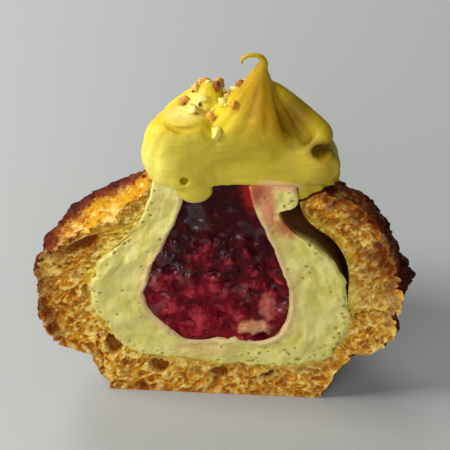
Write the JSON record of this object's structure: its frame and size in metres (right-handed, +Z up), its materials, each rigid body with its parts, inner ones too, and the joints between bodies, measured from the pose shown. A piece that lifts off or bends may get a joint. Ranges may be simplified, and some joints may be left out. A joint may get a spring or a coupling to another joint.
{
  "type": "halved filled choux bun",
  "caption": "Half of a crackled choux bun, cut down the middle, with pistachio cream round a raspberry filling and piped cream with nut crumbs on top.",
  "frame": {"origin": "centre of the part's box, at the floor under its flat foot", "axes": "+Z up; the flat cut face looks along -Y; the bun's upright axis lies in the cut plane at x = 0, y = -16.1 mm"},
  "size_m": [0.0705, 0.0337, 0.0761],
  "materials": {
    "choux": "matte",
    "cream": "satin",
    "raspberry": "gloss",
    "topping": "satin"
  },
  "bodies": {
    "root": {"choux_shell": "choux", "pistachio_cream": "cream", "raspberry_filling": "raspberry", "piped_topping": "topping"}
  },
  "joints": []
}
